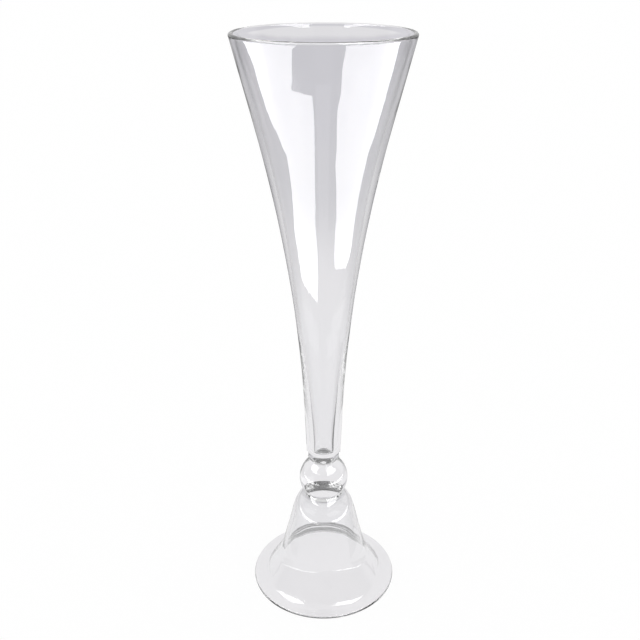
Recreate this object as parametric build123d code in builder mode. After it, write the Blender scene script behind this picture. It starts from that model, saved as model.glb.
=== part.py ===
from build123d import *
import math
import os

os.makedirs("parts", exist_ok=True)

# A tall hand-made vase of clear glass. A blown trumpet bowl, a solid ball and a
# blown bell foot are fused one on another. The origin is the centre of the ring
# that the vase stands on, and the axis of every piece is Z.

# Overall sizes
vase_height = 600.0
mouth_radius = 84.0
foot_radius = 80.0
bell_height = 114.6
ball_radius = 26.5

# The two round faces where the pieces are fused
foot_neck_radius = 20.5
bowl_neck_radius = 13.6

# Outside of the trumpet bowl: a lean is measured from the upright axis, the
# straight mouth down from the lip, and the heel and stem up from the bowl's neck
mouth_angle = 14.2
straight_mouth = 84.0
throat_radius = 20.3
stem_length = 61.4
heel_height = 11.0

# Walls and cavity of the trumpet bowl: thick in the stem, thinnest at the waist,
# which rises above the top of the stem, thicker again in the upper flare, and
# drawn out to a finer lip
mouth_wall = 4.4
upper_wall = 5.8
waist_wall = 3.2
waist_rise = 74.5
stem_wall = 7.4
bore_radius = 9.5
bore_round = 4.5
base_thickness = 12.0

# Outside of the bell foot: a steep flank opens at the knee into a wider skirt,
# and the skirt turns out at the hip into a low brim
flank_radius = 34.0
shoulder_height = 23.6
flank_angle = 13.4
skirt_angle = 34.0
brim_angle = 6.0
brim_width = 11.5
knee_round = 36.0
hip_round = 12.0

# Walls of the bell foot
foot_wall = 3.5
crown_thickness = 8.5
ground_depth = 0.15


def along(lean):
    """Unit direction that leans outwards from the upright axis by an angle in radians."""
    return Vector(math.sin(lean), math.cos(lean))


def meet(start, direction, other_start, other_direction):
    """Corner where two straight lines of the profile cross."""
    across = Vector(other_direction.Y, -other_direction.X)
    reach = (other_start - start).dot(across) / direction.dot(across)
    return start + direction * reach


# The ball sits so that its two flats have the radii of the two necks
ball_height = bell_height + math.sqrt(ball_radius**2 - foot_neck_radius**2)
bowl_neck_height = ball_height + math.sqrt(ball_radius**2 - bowl_neck_radius**2)

# Lip of the bowl: a full round as thick as the wall
mouth_lean = math.radians(mouth_angle)
mouth_up = along(mouth_lean)
mouth_out = Vector(mouth_up.Y, -mouth_up.X)
lip_round = mouth_wall / 2
lip_centre = Vector(mouth_radius - lip_round, vase_height - lip_round)
lip_outside = lip_centre + mouth_out * lip_round
lip_inside = lip_centre - mouth_out * lip_round
lip_top = lip_centre + Vector(0, lip_round)

# One long arc joins the straight mouth to the straight stem and touches both
flare_top_height = vase_height - straight_mouth
throat_height = bowl_neck_height + stem_length
flare_drop = (lip_outside.Y - flare_top_height) / math.cos(mouth_lean)
flare_top = lip_outside - mouth_up * flare_drop
throat = Vector(throat_radius, throat_height)
flare_chord = flare_top - throat
chord_lean = math.atan2(flare_chord.X, flare_chord.Y)
stem_lean = 2 * chord_lean - mouth_lean
flare_sweep = flare_chord.length / (2 * math.sin(mouth_lean - chord_lean))
flare_centre = throat + Vector(math.cos(stem_lean), -math.sin(stem_lean)) * flare_sweep


def bowl_outside(height):
    """Outer radius of the bowl at a height above the base."""
    if height >= flare_top_height:
        return lip_outside.X - (lip_outside.Y - height) * math.tan(mouth_lean)
    if height >= throat_height:
        rise = height - flare_centre.Y
        return flare_centre.X - math.sqrt(flare_sweep**2 - rise**2)
    return throat_radius - (throat_height - height) * math.tan(stem_lean)


def bowl_inside(height, wall):
    """Point on the inner face of the bowl where the wall has the given thickness."""
    return Vector(bowl_outside(height) - wall, height)


heel_top_height = bowl_neck_height + heel_height
heel_top = Vector(bowl_outside(heel_top_height), heel_top_height)
bowl_neck = Vector(bowl_neck_radius, bowl_neck_height)

# Stations of the inner face, from the mouth down to the bore
waist_height = throat_height + waist_rise
upper_middle = (flare_top_height + waist_height) / 2
lower_middle = (waist_height + throat_height) / 2
inner_stations = [
    lip_inside,
    bowl_inside(flare_top_height, upper_wall / math.cos(mouth_lean)),
    bowl_inside(upper_middle, (2 * upper_wall + waist_wall) / 3),
    bowl_inside(waist_height, waist_wall),
    bowl_inside(lower_middle, (waist_wall + stem_wall) / 2),
    bowl_inside(throat_height, stem_wall),
]
floor_height = bowl_neck_height + base_thickness
bore_foot = Vector(bore_radius, floor_height + bore_round)
floor_edge = Vector(bore_radius - bore_round, floor_height)

# Trumpet bowl
with BuildPart() as trumpet_bowl:
    with BuildSketch(Plane.XZ):
        with BuildLine():
            Line((0, bowl_neck_height), bowl_neck)
            TangentArc(heel_top, bowl_neck, tangent=-along(stem_lean))
            Line(heel_top, throat)
            TangentArc(throat, flare_top, tangent=along(stem_lean))
            Line(flare_top, lip_outside)
            ThreePointArc(lip_outside, lip_top, lip_inside)
            Spline(*inner_stations, bore_foot, tangents=[-mouth_up, (0, -1)])
            TangentArc(floor_edge, bore_foot, tangent=(1, 0))
            Line(floor_edge, (0, floor_height))
            Line((0, floor_height), (0, bowl_neck_height))
        make_face()
    revolve(axis=Axis.Z)

# Ball knop: a solid ball with a flat ground by fusing at each end
foot_neck = Vector(foot_neck_radius, bell_height)
with BuildPart() as ball_knop:
    with BuildSketch(Plane.XZ):
        with BuildLine():
            Line((0, bell_height), foot_neck)
            ThreePointArc(foot_neck, (ball_radius, ball_height), bowl_neck)
            Line(bowl_neck, (0, bowl_neck_height))
            Line((0, bowl_neck_height), (0, bell_height))
        make_face()
    revolve(axis=Axis.Z)

# Rim of the foot: a full round, ground flat where it stands
rim_round = foot_wall / 2
rim_centre = Vector(foot_radius - rim_round, rim_round - ground_depth)
brim_lean = math.radians(brim_angle)
brim_in = Vector(-math.cos(brim_lean), math.sin(brim_lean))
brim_out = Vector(brim_in.Y, -brim_in.X)
rim_above = rim_centre + brim_out * rim_round
rim_below = rim_centre - brim_out * rim_round
rim_side = Vector(foot_radius, rim_centre.Y)
rim_ground = Vector(rim_centre.X + math.sqrt(rim_round**2 - rim_centre.Y**2), 0)

# Steep flank of the bell, from the shoulder down to the knee, and its inner face
flank_lean = math.radians(flank_angle)
flank_down = Vector(math.sin(flank_lean), -math.cos(flank_lean))
flank_out = Vector(math.cos(flank_lean), math.sin(flank_lean))
flank_top = Vector(flank_radius, bell_height - shoulder_height)
flank_inside = flank_top - flank_out * foot_wall

# Skirt from the knee down to the hip, where the brim starts, and its inner face
skirt_lean = math.radians(skirt_angle)
skirt_down = Vector(math.sin(skirt_lean), -math.cos(skirt_lean))
skirt_out = Vector(math.cos(skirt_lean), math.sin(skirt_lean))
hip = rim_above + brim_in * brim_width
knee = meet(flank_top, flank_down, hip, skirt_down)
knee_inside = meet(flank_inside, flank_down, hip - skirt_out * foot_wall, skirt_down)
hip_inside = meet(knee_inside, skirt_down, rim_below, brim_in)
skirt_middle = (knee + hip) / 2
skirt_inside = (knee_inside + hip_inside) / 2
ground_inside = meet(rim_below, brim_in, Vector(0, 0), Vector(1, 0))

# Crown of the cavity: a round that leaves the flank and runs out level under the ball
crown_height = bell_height - crown_thickness
crown_lean = (flank_lean + math.pi / 2) / 2
crown_reach = (crown_height - flank_inside.Y) * math.tan(crown_lean)
crown_edge = Vector(flank_inside.X - crown_reach, crown_height)

# Bell foot
with BuildPart() as bell_foot:
    with BuildSketch(Plane.XZ):
        with BuildLine():
            Line((0, bell_height), foot_neck)
            TangentArc(flank_top, foot_neck, tangent=-flank_down)
            FilletPolyline(flank_top, knee, skirt_middle, radius=knee_round)
            FilletPolyline(skirt_middle, hip, rim_above, radius=hip_round)
            ThreePointArc(rim_above, rim_side, rim_ground)
            Line(rim_ground, ground_inside)
            FilletPolyline(ground_inside, hip_inside, skirt_inside, radius=hip_round + foot_wall)
            FilletPolyline(skirt_inside, knee_inside, flank_inside, radius=knee_round + foot_wall)
            TangentArc(flank_inside, crown_edge, tangent=-flank_down)
            Line(crown_edge, (0, crown_height))
            Line((0, crown_height), (0, bell_height))
        make_face()
    revolve(axis=Axis.Z)

print("ball centre", round(ball_height, 2), "bowl neck", round(bowl_neck_height, 2))
print("stem lean", round(math.degrees(stem_lean), 2), "flare sweep", round(flare_sweep, 1))
print("crown edge", round(crown_edge.X, 2), "knee", round(knee.X, 2), round(knee.Y, 2))
print("hip", round(hip.X, 2), round(hip.Y, 2))
print("ring that it stands on", round(ground_inside.X, 2), "to", round(rim_ground.X, 2))

trumpet_bowl.part.label = "trumpet_bowl"
ball_knop.part.label = "ball_knop"
bell_foot.part.label = "bell_foot"
export_step(trumpet_bowl.part, "parts/trumpet_bowl.step")
export_step(ball_knop.part, "parts/ball_knop.step")
export_step(bell_foot.part, "parts/bell_foot.step")
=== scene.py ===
# %% [markdown]
# A tall trumpet vase of clear glass: a blown bowl, a solid ball and a blown bell
# foot, fused hot one on another. Clear glass has no colour of its own to paint.
# What the eye sees is its shape bending and mirroring the light of the room. So
# this lesson spends its effort on true wall thicknesses and smooth curves, on the
# slight wander of hand work, and on a small studio of bright and dark places.

# %% Load the frame
import math

import bpy
import numpy as np
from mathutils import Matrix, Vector


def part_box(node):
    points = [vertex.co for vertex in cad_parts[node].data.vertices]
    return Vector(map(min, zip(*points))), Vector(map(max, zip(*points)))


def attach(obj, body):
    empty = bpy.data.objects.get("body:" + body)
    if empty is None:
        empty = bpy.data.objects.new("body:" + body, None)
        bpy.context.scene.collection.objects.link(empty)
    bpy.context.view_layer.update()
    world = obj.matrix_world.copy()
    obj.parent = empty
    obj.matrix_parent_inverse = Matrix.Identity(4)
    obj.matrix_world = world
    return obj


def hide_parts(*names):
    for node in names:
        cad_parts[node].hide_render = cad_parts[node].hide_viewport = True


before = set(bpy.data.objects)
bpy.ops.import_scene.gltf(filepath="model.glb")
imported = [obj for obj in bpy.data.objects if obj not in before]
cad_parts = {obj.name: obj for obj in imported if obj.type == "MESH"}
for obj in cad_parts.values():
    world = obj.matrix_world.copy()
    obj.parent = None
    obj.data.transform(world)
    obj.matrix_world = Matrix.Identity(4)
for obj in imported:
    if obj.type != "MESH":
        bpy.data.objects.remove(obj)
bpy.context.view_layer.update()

# %% [markdown]
# The camera comes first, because every later choice is judged through it. The
# foot shows as a wide ellipse and the mouth as a narrow one. How much narrower
# gives the height and the tilt of the camera, and their two widths on the picture
# give its distance and its lens.

# %% Place the camera
view = bpy.context.scene
camera_data = bpy.data.cameras.new("camera")
camera_data.lens = 47.94
camera_data.sensor_width = 36.0
camera_data.shift_x = -0.0055
camera = bpy.data.objects.new("camera", camera_data)
camera.location = (0.0, -0.7883, 0.6792)
camera_dip = 24.45
camera_roll = -0.04
camera.rotation_euler = (math.radians(90.0 - camera_dip), 0.0, 0.0)
camera.rotation_euler.rotate_axis("Z", math.radians(camera_roll))
view.collection.objects.link(camera)
view.camera = camera
view.view_settings.view_transform = "Standard"
print("camera at", tuple(camera.location), "looking down by", camera_dip, "degrees")

# %% [markdown]
# Glass turned on an axis is a profile swept round a circle. Each profile is a list
# of points, a radius and a height in metres, walked from the axis over the
# outside, round the edge, and back along the inside to the axis. It needs only
# straight lines, arcs that leave a point in a given direction, and rounded
# corners. They come from the same few sizes that the solid parts have.

# %% Places, directions and crossings
mm = 0.001


def on_axis(height):
    """Point of a profile on the axis."""
    return Vector((0.0, height))


def towards(lean):
    """Unit direction that leans out from the upright axis by an angle in degrees."""
    return Vector((math.sin(math.radians(lean)), math.cos(math.radians(lean))))


def turned(direction, angle):
    """A direction turned anticlockwise by an angle in radians."""
    c, s = math.cos(angle), math.sin(angle)
    return Vector((c * direction.x - s * direction.y, s * direction.x + c * direction.y))


def meet(start, direction, other, other_direction):
    """Point where two straight lines cross."""
    across = Vector((other_direction.y, -other_direction.x))
    return start + direction * ((other - start).dot(across) / direction.dot(across))


# %% Lines, arcs and rounded corners
def line(start, end, steps):
    """Points after start on a straight line to end."""
    return [start.lerp(end, k / steps) for k in range(1, steps + 1)]


def arc(start, end, leaving, steps):
    """Points after start on the arc that leaves start in a direction and reaches end."""
    chord = end - start
    half = math.atan2(leaving.x * chord.y - leaving.y * chord.x, leaving.dot(chord))
    across = chord.length / math.sin(half)
    shares = [k / steps for k in range(1, steps + 1)]
    return [start + turned(leaving, t * half) * (across * math.sin(t * half)) for t in shares]


def rounded(start, corner, end, radius, steps):
    """Points after start on a line to a corner, round it and on to end."""
    into, out = (corner - start).normalized(), (end - corner).normalized()
    bend_angle = math.acos(max(-1.0, min(1.0, into.dot(out))))
    back = radius * math.tan(bend_angle / 2)
    first, last = corner - into * back, corner + out * back
    straight = steps // 2
    way_in, way_out = line(start, first, straight), line(last, end, straight)
    return way_in + arc(first, last, into, steps) + way_out


# %% [markdown]
# The inside of the bowl has no plain form: the wall grows and thins as the glass
# was blown and swung. It is measured at a few stations, and one cubic curve goes
# through them all with no kink. Its speed at each station is found so that the
# bend on both sides of the station is the same.

# %% A smooth curve through stations
def smooth(stations, leaving, arriving, steps):
    """Points after the first station on the smoothest curve through all of them."""
    knots = np.array([tuple(p) for p in stations])
    gaps = np.linalg.norm(np.diff(knots, axis=0), axis=1)
    size = len(knots)
    system, right = np.eye(size), np.zeros((size, 2))
    right[0], right[-1] = leaving, arriving
    for k in range(1, size - 1):
        before, after = gaps[k - 1], gaps[k]
        system[k, k - 1 : k + 2] = after, 2 * (before + after), before
        slope_before = (knots[k] - knots[k - 1]) / before
        slope_after = (knots[k + 1] - knots[k]) / after
        right[k] = 3 * (after * slope_before + before * slope_after)
    speeds = np.linalg.solve(system, right)
    points = []
    for k, gap in enumerate(gaps):
        rows = max(2, round(steps * gap / gaps.sum()))
        for t in np.arange(1, rows + 1) / rows:
            at = (1 + 2 * t) * (1 - t) ** 2 * knots[k] + t * t * (3 - 2 * t) * knots[k + 1]
            at = at + gap * (t * (1 - t) ** 2 * speeds[k] - t * t * (1 - t) * speeds[k + 1])
            points.append(Vector(at))
    return points


# %% [markdown]
# Every tree of nodes in this lesson, for shapes and for materials, is wired by one
# small helper. It adds a node, sets its options, and fills its inputs with plain
# values or with the outputs of other nodes. Two more helpers shorten what several
# trees need: a Math node, and the direction from the axis straight out to a place.

# %% Helpers that wire nodes
def wiring(tree):
    """A function that adds a node to the tree, fills its inputs and returns one output."""

    def node(kind, inputs=None, out=0, **options):
        made = tree.nodes.new(kind)
        for key, value in options.items():
            setattr(made, key, value)
        for key, value in (inputs or {}).items():
            socket = made.inputs[key]
            if isinstance(value, bpy.types.NodeSocket):
                tree.links.new(value, socket)
            else:
                socket.default_value = value
        return made.outputs[out] if made.outputs else None

    return node


def arithmetic(node):
    """A short way to write Math nodes with a wiring helper."""

    def maths(operation, *values):
        return node("ShaderNodeMath", dict(enumerate(values)), operation=operation)

    return maths


def outwards(node, place):
    """The level direction from the axis straight out to a place, one metre long."""
    flat = node("ShaderNodeVectorMath", {0: place, 1: (1.0, 1.0, 0.0)}, operation="MULTIPLY")
    return node("ShaderNodeVectorMath", {0: flat}, operation="NORMALIZE")


# %% [markdown]
# One Geometry Nodes tree turns all three pieces, as one glass maker's bench does.
# It sweeps the profile round a circle, closes the poles, and then adds what a
# lathe can't: the slight wander of glass that was swung and pressed by hand while
# it was soft. The wander is smooth noise, read on a drum round the axis by the
# angle and the height alone, so both faces of a wall move together and the wall
# keeps its thickness. It fades out at a low and a high limit, which keeps the rims
# and the fused faces true.

# %% Name the inputs of the bench
bench = bpy.data.node_groups.new("glass_bench", "GeometryNodeTree")
bench.interface.new_socket("Profile", in_out="INPUT", socket_type="NodeSocketGeometry")
bench.interface.new_socket("Geometry", in_out="OUTPUT", socket_type="NodeSocketGeometry")
dials = {}
for title, kind, value in (
    ("Sides", "NodeSocketInt", 216),
    ("Sharp angle", "NodeSocketFloat", 0.6),
    ("Wander depth", "NodeSocketFloat", 0.0),
    ("Wander size", "NodeSocketFloat", 0.05),
    ("Wander low", "NodeSocketFloat", 0.0),
    ("Wander high", "NodeSocketFloat", 1.0),
    ("Wander fade", "NodeSocketFloat", 0.02),
    ("Seed", "NodeSocketFloat", 1.0),
    ("Fused low", "NodeSocketFloat", -1.0),
    ("Fused high", "NodeSocketFloat", -1.0),
    ("Glass", "NodeSocketMaterial", None),
    ("Fused face", "NodeSocketMaterial", None),
):
    socket = bench.interface.new_socket(title, in_out="INPUT", socket_type=kind)
    if value is not None:
        socket.default_value = value
    dials[title] = socket.identifier
entry = bench.nodes.new("NodeGroupInput").outputs
node = wiring(bench)
maths = arithmetic(node)
print("the bench has", len(dials), "dials")

# %% Sweep the profile round the axis
WHEEL_RADIUS = 1.0
wheel = node(
    "GeometryNodeCurvePrimitiveCircle",
    {"Resolution": entry["Sides"], "Radius": WHEEL_RADIUS},
)
blank = node(
    "GeometryNodeTransform",
    {
        "Geometry": entry["Profile"],
        "Translation": (-WHEEL_RADIUS, 0.0, 0.0),
        "Scale": (1.0, -1.0, 1.0),
    },
)
swept = node("GeometryNodeCurveToMesh", {"Curve": wheel, "Profile Curve": blank})
closed = node("GeometryNodeMergeByDistance", {"Geometry": swept, "Distance": 1e-7})
outward = node("GeometryNodeFlipFaces", {"Mesh": closed})
print("nodes that sweep a profile", len(bench.nodes))

# %% Let the soft glass wander
DRUM_RADIUS = 60.0 * mm
place = node("GeometryNodeInputPosition")
height = node("ShaderNodeSeparateXYZ", {0: place}, out="Z")
spoke = outwards(node, place)
on_drum = node("ShaderNodeVectorMath", {0: spoke, "Scale": DRUM_RADIUS}, operation="SCALE")
rise = node("ShaderNodeVectorMath", {0: place, 1: (0.0, 0.0, 1.0)}, operation="MULTIPLY")
reading = node("ShaderNodeVectorMath", {0: on_drum, 1: rise}, operation="ADD")
fineness = maths("DIVIDE", 1.0, entry["Wander size"])
noise = node(
    "ShaderNodeTexNoise",
    {"Vector": reading, "W": entry["Seed"], "Scale": fineness, "Detail": 1.0},
    noise_dimensions="4D",
)
above = maths("DIVIDE", maths("SUBTRACT", height, entry["Wander low"]), entry["Wander fade"])
below = maths("DIVIDE", maths("SUBTRACT", entry["Wander high"], height), entry["Wander fade"])
share = maths("MAXIMUM", maths("MINIMUM", maths("MINIMUM", above, below), 1.0), 0.0)
swing = maths(
    "MULTIPLY",
    maths("SUBTRACT", noise, 0.5),
    maths("MULTIPLY", entry["Wander depth"], 2.0),
)
push_length = maths("MULTIPLY", swing, share)
push = node("ShaderNodeVectorMath", {0: spoke, "Scale": push_length}, operation="SCALE")
soft = node("GeometryNodeSetPosition", {"Geometry": outward, "Offset": push})
print("nodes with the wander", len(bench.nodes))

# %% [markdown]
# The mesh is shaded smooth, and only true corners stay sharp. Where two pieces are
# fused there is no surface inside the real glass, yet each mesh has to stay
# closed. So the bench finds the level faces at the two fused heights and gives
# them a material that light passes straight through.

# %% Polish it and give it its materials
LEVEL, HAIR = 0.999, 1e-5


def lies_at(title):
    """1 where a face lies at the height that a dial gives, and 0 elsewhere."""
    off = maths("ABSOLUTE", maths("SUBTRACT", height, entry[title]))
    return maths("LESS_THAN", off, HAIR)


bend = node("GeometryNodeInputMeshEdgeAngle")
creased = maths("GREATER_THAN", bend, entry["Sharp angle"])
marked = node(
    "GeometryNodeStoreNamedAttribute",
    {"Geometry": soft, "Name": "sharp_edge", "Value": creased},
    data_type="BOOLEAN",
    domain="EDGE",
)
polished = node("GeometryNodeSetShadeSmooth", {"Geometry": marked})
real = node("GeometryNodeRealizeInstances", {"Geometry": polished})
glazed = node("GeometryNodeSetMaterial", {"Geometry": real, "Material": entry["Glass"]})
upward = node("ShaderNodeSeparateXYZ", {0: node("GeometryNodeInputNormal")}, out="Z")
level = maths("GREATER_THAN", maths("ABSOLUTE", upward), LEVEL)
fused = maths("MULTIPLY", level, maths("MAXIMUM", lies_at("Fused low"), lies_at("Fused high")))
finished = node(
    "GeometryNodeSetMaterial",
    {"Geometry": glazed, "Selection": fused, "Material": entry["Fused face"]},
)
node_out = bench.nodes.new("NodeGroupOutput")
bench.links.new(finished, node_out.inputs["Geometry"])
print("the bench has", len(bench.nodes), "nodes")

# %% [markdown]
# A profile becomes a poly curve, and the bench turns it when the object is
# evaluated. The result is kept as a plain mesh, and the curve and its modifier are
# thrown away. The volume of the closed mesh tells how much glass it holds, and a
# positive volume says that the faces point outwards.

# %% Turn one piece
def turn(name, points, **settings):
    """A plain mesh object, turned from a profile on the bench."""
    curve = bpy.data.curves.new(name + "_profile", "CURVE")
    curve.dimensions = "3D"
    spline = curve.splines.new("POLY")
    spline.points.add(len(points) - 1)
    for knot, (out, up) in zip(spline.points, points):
        knot.co = (out, up, 0.0, 1.0)
    profile = bpy.data.objects.new(name + "_profile", curve)
    view.collection.objects.link(profile)
    modifier = profile.modifiers.new("bench", "NODES")
    modifier.node_group = bench
    for title, value in settings.items():
        modifier[dials[title.replace("_", " ")]] = value
    evaluated = bpy.context.evaluated_depsgraph_get()
    mesh = bpy.data.meshes.new_from_object(profile.evaluated_get(evaluated), depsgraph=evaluated)
    bpy.data.objects.remove(profile)
    mesh.name = name
    piece = bpy.data.objects.new(name, mesh)
    view.collection.objects.link(piece)
    mesh.calc_loop_triangles()
    at = np.array([v.co[:] for v in mesh.vertices])
    corners = at[[t.vertices[:] for t in mesh.loop_triangles]]
    spans = np.cross(corners[:, 1], corners[:, 2])
    volume = np.einsum("ij,ij->i", corners[:, 0], spans).sum() / 6
    print(name, len(corners), "triangles,", round(volume / mm**3), "cubic mm of glass")
    return piece


# %% [markdown]
# The glass is a Principled shader that lets all light through and bends it as soda
# glass does. Blown glass is never quite flat. Faint cords run up it where the
# gather was drawn out, and small ripples stay where it touched a tool. Both are
# bump from noise on Object coordinates, so shallow that they only make the edges
# of a reflection tremble. A little iron in the sand shows as a cool tint, and its
# strength drifts over the piece.

# %% Start a material and a ramp of colours
def new_material(name):
    """An empty node material and its wiring helper."""
    material = bpy.data.materials.new(name)
    material.use_nodes = True
    material.node_tree.nodes.clear()
    return material, wiring(material.node_tree)


def ramp(node, value, stops, ease="EASE"):
    """The colour of a ramp at a value. Each stop is a position and a colour."""
    colour = node("ShaderNodeValToRGB", {"Fac": value})
    elements = colour.node.color_ramp.elements
    colour.node.color_ramp.interpolation = ease
    while len(elements) < len(stops):
        elements.new(1.0)
    for element, (where, shade) in zip(elements, stops):
        element.position, element.color = where, (*shade, 1.0)
    return colour


# %% Mix the clear glass
BUMP_STRENGTH, BUMP_DEPTH = 0.5, 0.3 * mm
COOL_TINT, FAINT_TINT = (0.978, 0.981, 0.986), (0.988, 0.988, 0.993)
clear_glass, node = new_material("clear_glass")
object_place = node("ShaderNodeTexCoord", out="Object")
drawn = node("ShaderNodeMapping", {"Vector": object_place, "Scale": (1.0, 1.0, 0.18)})
cords = node(
    "ShaderNodeTexNoise", {"Vector": drawn, "Scale": 38.0, "Detail": 2.0, "Roughness": 0.45}
)
ripples = node("ShaderNodeTexNoise", {"Vector": object_place, "Scale": 26.0, "Detail": 1.0})
bump = {"Strength": BUMP_STRENGTH, "Distance": BUMP_DEPTH}
cord_bump = node("ShaderNodeBump", {"Height": cords, **bump})
glass_bump = node("ShaderNodeBump", {"Height": ripples, **bump, "Normal": cord_bump})
drift = node("ShaderNodeTexNoise", {"Vector": object_place, "Scale": 9.0, "Detail": 1.0})
glass_shader = node(
    "ShaderNodeBsdfPrincipled",
    {
        "Base Color": ramp(node, drift, ((0.3, COOL_TINT), (0.7, FAINT_TINT))),
        "Transmission Weight": 1.0,
        "Roughness": 0.0,
        "IOR": 1.5,
        "Normal": glass_bump,
    },
)
node("ShaderNodeOutputMaterial", {"Surface": glass_shader})

fused_face, node = new_material("fused_face")
node("ShaderNodeOutputMaterial", {"Surface": node("ShaderNodeBsdfTransparent")})
print("materials", clear_glass.name, fused_face.name)

# %% [markdown]
# The ball and its two necks are measured first, because the other two pieces stand
# on them. Where the ball is cut level at the neck's radius, its height follows from
# the triangle between the centre, the neck and the rim of the cut.

# %% Heights that the pieces share
vase_height = 600.0 * mm
bell_height = 114.6 * mm
ball_radius = 26.5 * mm
foot_neck_radius = 20.5 * mm
bowl_neck_radius = 13.6 * mm
ball_height = bell_height + math.sqrt(ball_radius**2 - foot_neck_radius**2)
bowl_neck_height = ball_height + math.sqrt(ball_radius**2 - bowl_neck_radius**2)
foot_neck = Vector((foot_neck_radius, bell_height))
bowl_neck = Vector((bowl_neck_radius, bowl_neck_height))
print("ball centre", round(ball_height, 4), "bowl neck", round(bowl_neck_height, 4))

# %% [markdown]
# The trumpet bowl is the long blown piece. From its round solid heel a narrow, thick
# stem rises almost straight, and then one long arc opens it to a straight mouth. The
# lip was melted round in the fire, so it ends in a half circle. Only this outline is
# drawn here, from the axis at the heel to the inner edge of the lip.

# %% Outline of the trumpet bowl
mouth_radius, mouth_angle, straight_mouth = 84.0 * mm, 14.2, 84.0 * mm
lip_radius = 2.2 * mm
throat_radius, stem_length = 20.3 * mm, 61.4 * mm
heel_rise = 11.0 * mm

flare_height = vase_height - straight_mouth
throat = Vector((throat_radius, bowl_neck_height + stem_length))
heel_height = bowl_neck_height + heel_rise
mouth_up = towards(mouth_angle)
mouth_out = Vector((mouth_up.y, -mouth_up.x))
lip_centre = Vector((mouth_radius - lip_radius, vase_height - lip_radius))
lip_outside, lip_inside = lip_centre + mouth_out * lip_radius, lip_centre - mouth_out * lip_radius
flare_top = lip_outside - mouth_up * ((lip_outside.y - flare_height) / mouth_up.y)
flare_chord = flare_top - throat
stem_angle = 2 * math.degrees(math.atan2(flare_chord.x, flare_chord.y)) - mouth_angle
stem_up = towards(stem_angle)
heel_top = throat - stem_up * ((throat.y - heel_height) / stem_up.y)

heel = arc(heel_top, bowl_neck, -stem_up, steps=24)[-2::-1]
flare = line(heel_top, throat, steps=10) + arc(throat, flare_top, stem_up, steps=90)
mouth = line(flare_top, lip_outside, steps=24) + arc(lip_outside, lip_inside, mouth_up, steps=28)
outline = [on_axis(bowl_neck_height), bowl_neck] + heel + [heel_top] + flare + mouth
print("the stem leans", round(stem_angle, 2), "degrees,", len(outline), "points outside")

# %% [markdown]
# The wall is what makes the bowl look real: 7 mm in the stem, 3 mm at the waist,
# nearly 6 mm in the upper flare, and drawn out to a finer lip. The inner face goes
# smoothly through these stations and ends in the round floor of the narrow bore,
# 12 mm of solid glass above the neck. A faint wander makes the long reflections on
# the flare wave a little, as they do on hand-blown glass.

# %% Inner face of the trumpet bowl
def outer_radius(height):
    """Radius of the outside of the bowl, between the heel and the straight mouth."""
    return float(np.interp(height, [p.y for p in flare], [p.x for p in flare]))


upper_wall, waist_wall, stem_wall = 5.8 * mm, 3.2 * mm, 7.4 * mm
waist_rise = 74.5 * mm
bore_radius, bore_round, base_thickness = 9.5 * mm, 4.5 * mm, 12.0 * mm

waist_height = throat.y + waist_rise
walls = (
    (flare_height, upper_wall / mouth_up.y),
    ((flare_height + waist_height) / 2, (2 * upper_wall + waist_wall) / 3),
    (waist_height, waist_wall),
    ((waist_height + throat.y) / 2, (waist_wall + stem_wall) / 2),
    (throat.y, stem_wall),
)
floor_height = bowl_neck_height + base_thickness
bore_foot = Vector((bore_radius, floor_height + bore_round))
floor_edge = Vector((bore_radius - bore_round, floor_height))
down = Vector((0.0, -1.0))
stations = [lip_inside] + [Vector((outer_radius(h) - wall, h)) for h, wall in walls] + [bore_foot]
cavity = (
    smooth(stations, -mouth_up, down, steps=150)
    + arc(bore_foot, floor_edge, down, steps=14)
    + line(floor_edge, on_axis(floor_height), steps=3)
)
print("floor of the bore at", round(floor_height, 4), "m,", len(cavity), "points inside")

# %% Turn the trumpet bowl
bowl = turn(
    "trumpet_bowl_glass",
    outline + cavity,
    Glass=clear_glass,
    Fused_face=fused_face,
    Fused_low=bowl_neck_height,
    Wander_depth=0.4 * mm,
    Wander_size=0.08,
    Wander_low=0.20,
    Wander_high=0.57,
    Wander_fade=0.08,
    Seed=3.0,
)

# %% [markdown]
# The ball is solid glass, pressed between the bowl and the foot while all three were
# hot. Its outline is one arc between its two level necks.

# %% Turn the ball knop
ball_spoke = (foot_neck - on_axis(ball_height)).normalized()
ball_side = arc(foot_neck, bowl_neck, turned(ball_spoke, math.pi / 2), steps=80)
ball = turn(
    "ball_knop_glass",
    [on_axis(bell_height), foot_neck] + ball_side + [on_axis(bowl_neck_height)],
    Glass=clear_glass,
    Fused_face=fused_face,
    Fused_low=bell_height,
    Fused_high=bowl_neck_height,
)

# %% [markdown]
# The bell foot was blown and opened out over a table edge. A round shoulder under
# the ball turns down into a steep flank, the flank opens at the knee into a wider
# skirt, and the skirt turns out at the hip into a low brim. The brim ends in a round
# rim, ground flat where the vase stands.

# %% Outline of the bell foot
foot_radius, foot_wall = 80.0 * mm, 3.5 * mm
flank_radius, shoulder_height = 34.0 * mm, 23.6 * mm
flank_angle, skirt_angle, brim_angle = 13.4, 34.0, 6.0
knee_round, hip_round, brim_width = 36.0 * mm, 12.0 * mm, 11.5 * mm
ground_depth = 0.15 * mm

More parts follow.
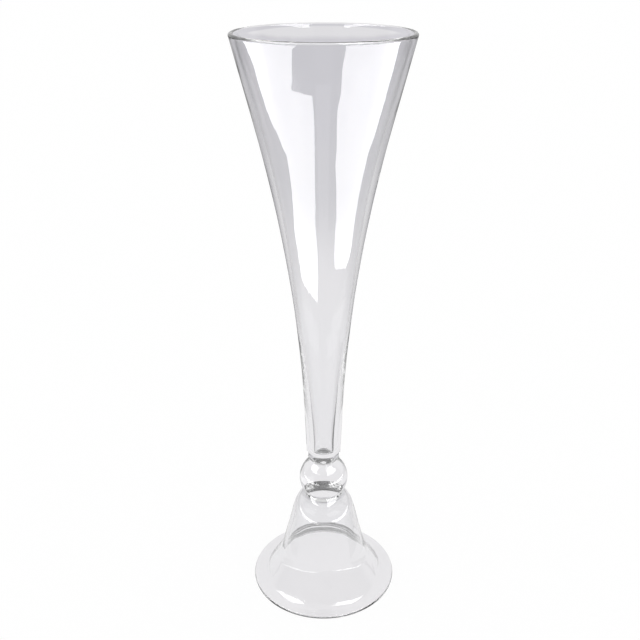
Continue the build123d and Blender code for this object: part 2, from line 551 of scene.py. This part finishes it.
flank_top = Vector((flank_radius, bell_height - shoulder_height))
flank_down, skirt_down = -towards(-flank_angle), -towards(-skirt_angle)
flank_out, skirt_out = turned(flank_down, math.pi / 2), turned(skirt_down, math.pi / 2)
brim_in = turned(Vector((-1.0, 0.0)), -math.radians(brim_angle))
brim_out = turned(brim_in, -math.pi / 2)
rim_radius = foot_wall / 2
rim_centre = Vector((foot_radius - rim_radius, rim_radius - ground_depth))
rim_above, rim_below = rim_centre + brim_out * rim_radius, rim_centre - brim_out * rim_radius
rim_ground = Vector((rim_centre.x + math.sqrt(rim_radius**2 - rim_centre.y**2), 0.0))
hip = rim_above + brim_in * brim_width
knee = meet(flank_top, flank_down, hip, skirt_down)
print("knee at", tuple(round(v, 4) for v in knee), "hip at", tuple(round(v, 4) for v in hip))

# %% [markdown]
# The inner face of the bell runs 3.5 mm inside the outer one, down to where it meets
# the table. At the top the cavity closes in a round crown, 8.5 mm under the ball. The
# far side of the hip is the dark arch that shows through the bell, and it waves
# by a millimetre or two, so this piece wanders more than the bowl does.

# %% Inner corners of the bell foot
crown_thickness = 8.5 * mm
flank_inside = flank_top - flank_out * foot_wall
knee_inside = meet(flank_inside, flank_down, hip - skirt_out * foot_wall, skirt_down)
hip_inside = meet(knee_inside, skirt_down, rim_below, brim_in)
ground_inside = meet(rim_below, brim_in, on_axis(0.0), Vector((1.0, 0.0)))
crown_height = bell_height - crown_thickness
crown_lean = math.radians(flank_angle + 90.0) / 2
crown_reach = (crown_height - flank_inside.y) * math.tan(crown_lean)
crown_edge = Vector((flank_inside.x - crown_reach, crown_height))
print("ground ring from", round(ground_inside.x, 4), "to", round(rim_ground.x, 4), "m")

# %% Turn the bell foot
middle, middle_inside = knee.lerp(hip, 0.5), knee_inside.lerp(hip_inside, 0.5)
along_rim = turned((rim_above - rim_centre).normalized(), -math.pi / 2)
outer_face = (
    [on_axis(bell_height)]
    + arc(flank_top, foot_neck, -flank_down, steps=36)[::-1]
    + [flank_top]
    + rounded(flank_top, knee, middle, knee_round, steps=20)
    + rounded(middle, hip, rim_above, hip_round, steps=24)
    + arc(rim_above, rim_ground, along_rim, steps=20)
)
inner_face = (
    line(rim_ground, ground_inside, steps=2)
    + rounded(ground_inside, hip_inside, middle_inside, hip_round + foot_wall, steps=24)
    + rounded(middle_inside, knee_inside, flank_inside, knee_round + foot_wall, steps=20)
    + arc(flank_inside, crown_edge, -flank_down, steps=36)
    + line(crown_edge, on_axis(crown_height), steps=5)
)
foot = turn(
    "bell_foot_glass",
    (outer_face + inner_face)[::-1],
    Glass=clear_glass,
    Fused_face=fused_face,
    Fused_high=bell_height,
    Wander_depth=2.4 * mm,
    Wander_size=0.055,
    Wander_low=3.4 * mm,
    Wander_high=0.070,
    Wander_fade=4.0 * mm,
    Seed=7.0,
)

# %% [markdown]
# A glass object is photographed on a white table in front of a white wall, and it
# shows in the picture only because the rest of the room is darker. So the table and
# the room have one look for each of four kinds of ray: those of the camera, those
# that the glass has mirrored, those that have come through the glass, and all the
# others. What the glass shows of them is painted: painted shade through the glass,
# and painted reflections in mirror images. A few helpers mix the shades and the
# shaders for that.

# %% Mix shades and shaders
def grey(value):
    """A neutral colour."""
    return (value, value, value)


WHITE = (*grey(1.0), 1.0)


def grey_ramp(node, value, stops, ease="EASE"):
    """A ramp of neutral colours. Each stop is a position and a brightness."""
    return ramp(node, value, [(where, grey(shade)) for where, shade in stops], ease)


def blend(node, share, first, second, way="MIX"):
    """Two colours, blended by a share of the second."""
    colours = {"Fac": share, "Color1": first, "Color2": second}
    return node("ShaderNodeMixRGB", colours, blend_type=way)


def mix(node, share, first, second):
    """Two shaders, mixed by a share of the second."""
    return node("ShaderNodeMixShader", {0: share, 1: first, 2: second})


def by_ray(node, path, for_all, for_camera, for_mirror, for_glass):
    """The shader that each kind of ray finds."""
    shown = mix(node, path["Is Camera Ray"], for_all, for_camera)
    shown = mix(node, path["Is Glossy Ray"], shown, for_mirror)
    return mix(node, path["Is Transmission Ray"], shown, for_glass)


# %% [markdown]
# Two painted shades darken what shows through the glass. The wall behind the vase is
# lit best in its middle and falls off to the sides. And a plain way through both walls
# of the bowl meets four faces, while light that met six or more was led round inside
# the glass, and what it brings is painted darker. A ramp goes only from 0 to 1, so
# the faces are counted as shares of twenty.

# %% Painted shade for the sides and the long ways
MOST_FACES = 20.0
PLAIN_WAY, LED_ROUND = 0.24, 0.29


def sideways(node, place):
    """How far to the side a place lies: 0 behind the vase, 1 at its side or in front."""
    maths = arithmetic(node)
    split = node("ShaderNodeSeparateXYZ", {0: outwards(node, place)}).node.outputs
    in_front = maths("LESS_THAN", split["Y"], 0.0)
    return maths("MAXIMUM", maths("ABSOLUTE", split["X"]), in_front)


def falloff(node, place, stops):
    """A painted shade that changes from straight behind the vase to its sides."""
    return grey_ramp(node, sideways(node, place), stops, "LINEAR")


def long_way(node, path, colour, shade):
    """A colour, multiplied by a painted shade for light that took a long way inside the glass."""
    faces = arithmetic(node)("DIVIDE", path["Ray Depth"], MOST_FACES)
    share = grey_ramp(node, faces, ((PLAIN_WAY, 1.0), (LED_ROUND, shade)), "LINEAR")
    return blend(node, 1.0, colour, share, "MULTIPLY")


# %% [markdown]
# The table is a wide disc. To the camera it is white and still takes the soft shadow
# of the vase. To a ray that has come through the glass it shows a painted shade of
# grey that darkens with the distance, and lightens again where it meets the wall. To
# a ray that the glass has mirrored it shows a painted reflection, bright close by, dark
# further out, and grey beyond. All other rays find plain white paint. The shades near
# the vase are placed on ramps that span 4 m of the table, and those at the wall on one
# of 8 m. The disc lies a hair under the foot, so that no face of the glass lies in it.

# %% Lay the table
TABLE_RADIUS, TABLE_SIDES, TABLE_DROP = 14.0, 64, 0.2 * mm
table_mesh = bpy.data.meshes.new("table")
table_rim = [
    (TABLE_RADIUS * math.cos(a), TABLE_RADIUS * math.sin(a), -TABLE_DROP)
    for a in np.linspace(0, 2 * math.pi, TABLE_SIDES + 1)[:-1]
]
table_mesh.from_pydata(table_rim, [], [list(range(TABLE_SIDES))])
table = bpy.data.objects.new("table", table_mesh)
view.collection.objects.link(table)
print("table reaches", table.dimensions.x / 2, "m from the vase")

# %% Painted shades of the table
NEAR_REACH, FAR_REACH = 4.0, 8.0
# The greys below are painted: shade of the white table seen through the glass, and its reflection
# in mirror images.
TABLE_THROUGH = (
    (0.0, (0.87, 0.86, 0.875)),
    (0.24, (0.86, 0.85, 0.865)),
    (0.42, (0.69, 0.68, 0.71)),
    (0.65, (0.65, 0.64, 0.68)),
)
TABLE_AT_WALL = (0.80, 0.79, 0.81, 1.0)
TABLE_SIDEWAYS = (
    (0.0, 1.0), (0.5, 1.0), (0.62, 0.62), (0.68, 0.28),
    (0.76, 0.28), (0.84, 0.56), (0.98, 0.56), (1.0, 1.0),
)
TABLE_MIRRORED = ((0.0, 0.85), (0.11, 0.85), (0.16, 0.1), (0.27, 0.1), (0.45, 0.35))
SIDES_START, WALL_STARTS = ((0.25, 0.0), (0.5, 1.0)), ((0.635, 0.0), (0.69, 1.0))
TABLE_LONG_WAY = 0.15

white_table, node = new_material("white_table")
maths = arithmetic(node)
path = node("ShaderNodeLightPath").node.outputs
spot = node("ShaderNodeTexCoord", out="Object")
away = node("ShaderNodeVectorMath", {0: spot}, out="Value", operation="LENGTH")
reach = maths("DIVIDE", away, NEAR_REACH)
seen_through = ramp(node, reach, TABLE_THROUGH)
at_wall = grey_ramp(node, maths("DIVIDE", away, FAR_REACH), WALL_STARTS)
seen_through = blend(node, at_wall, seen_through, TABLE_AT_WALL)
far_share = grey_ramp(node, reach, SIDES_START)
shade = blend(node, far_share, WHITE, falloff(node, spot, TABLE_SIDEWAYS))
through_colour = blend(node, 1.0, seen_through, shade, "MULTIPLY")
through_colour = long_way(node, path, through_colour, TABLE_LONG_WAY)
mirrored = grey_ramp(node, reach, TABLE_MIRRORED)
print("nodes that shade the table", len(white_table.node_tree.nodes))

# %% Paint the table
PAINT = (*grey(0.85), 1.0)
CAMERA_GLOW, GLASS_GLOW = 0.88, 0.9
CAMERA_WHITE = 1.04
paint = node("ShaderNodeBsdfDiffuse", {"Color": PAINT})
white_light = node("ShaderNodeEmission", {"Color": WHITE, "Strength": CAMERA_WHITE})
for_camera = mix(node, CAMERA_GLOW, paint, white_light)
for_mirror = node("ShaderNodeEmission", {"Color": mirrored})
for_glass = mix(node, GLASS_GLOW, paint, node("ShaderNodeEmission", {"Color": through_colour}))
shown = by_ray(node, path, paint, for_camera, for_mirror, for_glass)
node("ShaderNodeOutputMaterial", {"Surface": shown})
table_mesh.materials.append(white_table)
print("the paint of the table shows by", round(1.0 - CAMERA_GLOW, 2), "to the camera")

# %% [markdown]
# The long white bands on the bowl and the white patches on the foot are mirror
# images. The bowl leans out, so it mirrors the table in front of it, where two
# windows throw bright pools to the left and to the right. The foot and the inside of
# the mouth lean back, and they mirror the windows themselves, high up on both sides.
# Each is a sheet of light that only the glass can see. It has one strength in mirror
# images and one through the glass.

# %% Sheets that only the glass can see
CARD_STEPS = 24
PATCH_LIFT = 2.0 * mm


def light_sheet(name, corners, faces, mirror, through):
    """A sheet with one strength in mirror images and one through the glass."""
    mesh = bpy.data.meshes.new(name)
    mesh.from_pydata(corners, [], faces)
    sheet = bpy.data.objects.new(name, mesh)
    view.collection.objects.link(sheet)
    sheet.visible_camera = sheet.visible_diffuse = sheet.visible_shadow = False
    material, node = new_material(name)
    path = node("ShaderNodeLightPath").node.outputs
    for_mirror = node("ShaderNodeEmission", {"Strength": mirror})
    for_glass = node("ShaderNodeEmission", {"Strength": through})
    shown = mix(node, path["Is Transmission Ray"], for_mirror, for_glass)
    node("ShaderNodeOutputMaterial", {"Surface": shown})
    mesh.materials.append(material)
    print(name, "reaches", round(max(math.dist(c, (0.0, 0.0, 0.0)) for c in corners), 2), "m")


def card(name, azimuths, distance, heights, mirror, through):
    """A curved card that stands at a distance, from one azimuth and height to another.
    Azimuth 0 is towards the camera, and it grows to the right."""
    corners = []
    for azimuth in np.radians(np.linspace(*azimuths, CARD_STEPS + 1)):
        place = (distance * math.sin(azimuth), -distance * math.cos(azimuth))
        corners += [(*place, height) for height in heights]
    faces = [(2 * k, 2 * k + 2, 2 * k + 3, 2 * k + 1) for k in range(CARD_STEPS)]
    light_sheet(name, corners, faces, mirror, through)


def patch(name, corners, mirror, through):
    """A flat patch on the table with the given corners."""
    raised = [(x, y, PATCH_LIFT) for x, y in corners]
    light_sheet(name, raised, [list(range(len(corners)))], mirror, through)


# %% [markdown]
# The outline of a pool follows from the white band that it makes. A line of sight
# that meets the bowl at the edge of the band is mirrored down to the table, and the
# edge of the pool is where it lands. The corners of both pools were found so.

# %% Lay the two pools
BRIGHT = 8.0
POOL_THROUGH, WINDOW_THROUGH = 1.0, 2.0
patch(
    "pool_left",
    (
        (-0.171, -0.447), (-0.16, -0.49), (-0.176, -0.513), (-0.195, -0.533), (-0.19, -0.60),
        (-0.17, -0.65), (-0.19, -0.70), (-0.225, -0.757), (-0.33, -0.729), (-0.424, -0.693),
        (-0.52, -0.649), (-0.62, -0.592), (-0.615, -0.80), (-0.60, -1.00), (-1.20, -0.90),
        (-1.80, 0.10), (-1.75, 0.75), (-1.44, 0.518), (-1.288, 0.311), (-1.142, 0.223),
        (-1.037, 0.150), (-0.885, -0.062), (-0.818, -0.123), (-0.72, -0.24), (-0.667, -0.203),
        (-0.664, -0.133), (-0.661, -0.091), (-0.62, -0.098), (-0.584, -0.124), (-0.553, -0.143),
        (-0.478, -0.249), (-0.362, -0.357), (-0.257, -0.417),
    ),
    BRIGHT,
    POOL_THROUGH,
)
patch(
    "pool_right",
    (
        (0.303, -0.430), (0.317, -0.420), (0.419, -0.341), (0.509, -0.236), (0.566, -0.136),
        (0.611, -0.061), (0.639, -0.044), (0.672, -0.060), (0.728, -0.055), (0.774, -0.050),
        (0.839, 0.005), (0.923, 0.107), (1.038, 0.207), (1.141, 0.274), (1.30, 0.38),
        (1.60, 0.50), (1.80, 0.10), (1.20, -0.90), (0.53, -1.00), (0.456, -0.850),
        (0.371, -0.799), (0.342, -0.738), (0.264, -0.694), (0.266, -0.593), (0.293, -0.522),
        (0.297, -0.491), (0.287, -0.469),
    ),
    BRIGHT,
    POOL_THROUGH,
)

# %% [markdown]
# Two patches of painted shade lie on the table close beside the vase. In mirror
# images they look like the table, but through the glass they are dark, and they draw
# the dark lines on the inner wall of the stem. The windows stand high on both sides,
# and a card that is dark in mirror images stands where the camera and the maker of
# the picture would be.

# %% Lay the patches of painted shade and stand the cards
WINDOW_AWAY, MAKER_AWAY = 2.08, 0.80
LIKE_TABLE = 0.85
# Painted shade: dark patches on the table that only rays through the glass see.
for name, corners, through in (
    ("shade_patch_right", ((0.14, -0.05), (0.42, -0.07), (0.42, 0.16), (0.14, 0.06)), 0.2),
    ("shade_patch_left", ((-0.14, -0.05), (-0.14, 0.05), (-0.42, 0.13), (-0.42, -0.07)), 0.45),
):
    patch(name, corners, LIKE_TABLE, through)
for name, azimuths, heights in (
    ("window_left_low", (-92.0, -30.0), (1.50, 1.75)),
    ("window_left", (-105.0, -50.0), (1.75, 4.6)),
    ("window_right", (20.0, 84.0), (1.50, 4.6)),
):
    card(name, azimuths, WINDOW_AWAY, heights, BRIGHT, WINDOW_THROUGH)
card("maker", (-14.0, 14.0), MAKER_AWAY, (0.35, 1.0), mirror=0.0, through=0.6)

# %% [markdown]
# The rest of the room is the world. The camera sees it white. Through the glass it
# is the wall behind, with a painted shade that falls off to each side near the horizon
# and is slightly darker above. In mirror images it is a painted reflection, light
# behind the vase and dim in front of it, so that there only the table, the pools and
# the windows show.

# %% Light the room
# Painted shade of the wall seen through the glass, and painted reflection of the room in mirror
# images.
WALL_AT_TABLE = (0.78, 0.77, 0.8)
WALL = ((0.0, WALL_AT_TABLE), (0.12, WALL_AT_TABLE), (0.3, grey(0.68)), (1.0, grey(0.72)))
WALL_SIDEWAYS = ((0.0, 1.0), (0.3, 1.0), (0.42, 0.6), (0.55, 0.6), (0.68, 0.9), (1.0, 0.9))
FRONT_MIRRORED = ((0.0, 0.3), (0.12, 0.12), (0.6, 0.12), (0.9, 0.4))
WALL_LONG_WAY = 0.3
LOW_DOWN, BEHIND = ((0.05, 1.0), (0.35, 0.0)), ((0.05, 0.0), (0.3, 1.0))
PALE, ROOM_LIGHT = (*grey(0.9), 1.0), 0.9

world = bpy.data.worlds.new("studio")
view.world = world
world.use_nodes = True
world.node_tree.nodes.clear()
node = wiring(world.node_tree)
path = node("ShaderNodeLightPath").node.outputs
aim = node("ShaderNodeTexCoord", out="Generated")
towards_sky = node("ShaderNodeSeparateXYZ", {0: aim}).node.outputs
up, back = towards_sky["Z"], towards_sky["Y"]
wall = ramp(node, up, WALL)
low_share = grey_ramp(node, up, LOW_DOWN)
shade = blend(node, low_share, WHITE, falloff(node, aim, WALL_SIDEWAYS))
through_colour = blend(node, 1.0, wall, shade, "MULTIPLY")
through_colour = long_way(node, path, through_colour, WALL_LONG_WAY)
front = grey_ramp(node, up, FRONT_MIRRORED)
behind = grey_ramp(node, back, BEHIND)
mirrored = blend(node, behind, front, PALE)
for_all = node("ShaderNodeBackground", {"Color": PALE, "Strength": ROOM_LIGHT})
for_camera = node("ShaderNodeBackground", {"Color": WHITE})
for_mirror = node("ShaderNodeBackground", {"Color": mirrored})
for_glass = node("ShaderNodeBackground", {"Color": through_colour})
shown = by_ray(node, path, for_all, for_camera, for_mirror, for_glass)
node("ShaderNodeOutputWorld", {"Surface": shown})
print("the room has", len(world.node_tree.nodes), "nodes")

# %% [markdown]
# A ray that enters the lip can be led down inside the wall for the whole height of
# the bowl, mirrored from face to face, before it finds a way out. With few bounces
# it would be cut off and leave a thick black rim, so the limits are raised.

# %% Let the light bounce
MOST_BOUNCES = 80
view.cycles.max_bounces = MOST_BOUNCES
view.cycles.transmission_bounces = MOST_BOUNCES
view.cycles.glossy_bounces = MOST_BOUNCES
view.cycles.transparent_max_bounces = 64
print("bounces", view.cycles.max_bounces)

# %% [markdown]
# Each glass piece takes the place of the solid that it shows. Nothing on the vase
# moves, so all three ride on its one body, and all take the same finish.

# %% Hand over the pieces
for piece, solid in ((bowl, "trumpet_bowl"), (ball, "ball_knop"), (foot, "bell_foot")):
    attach(piece, "root")
    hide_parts(solid)
    box = [tuple(round(v, 4) for v in corner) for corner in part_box(solid)]
    print(piece.name, "stands for", solid, "in", box)
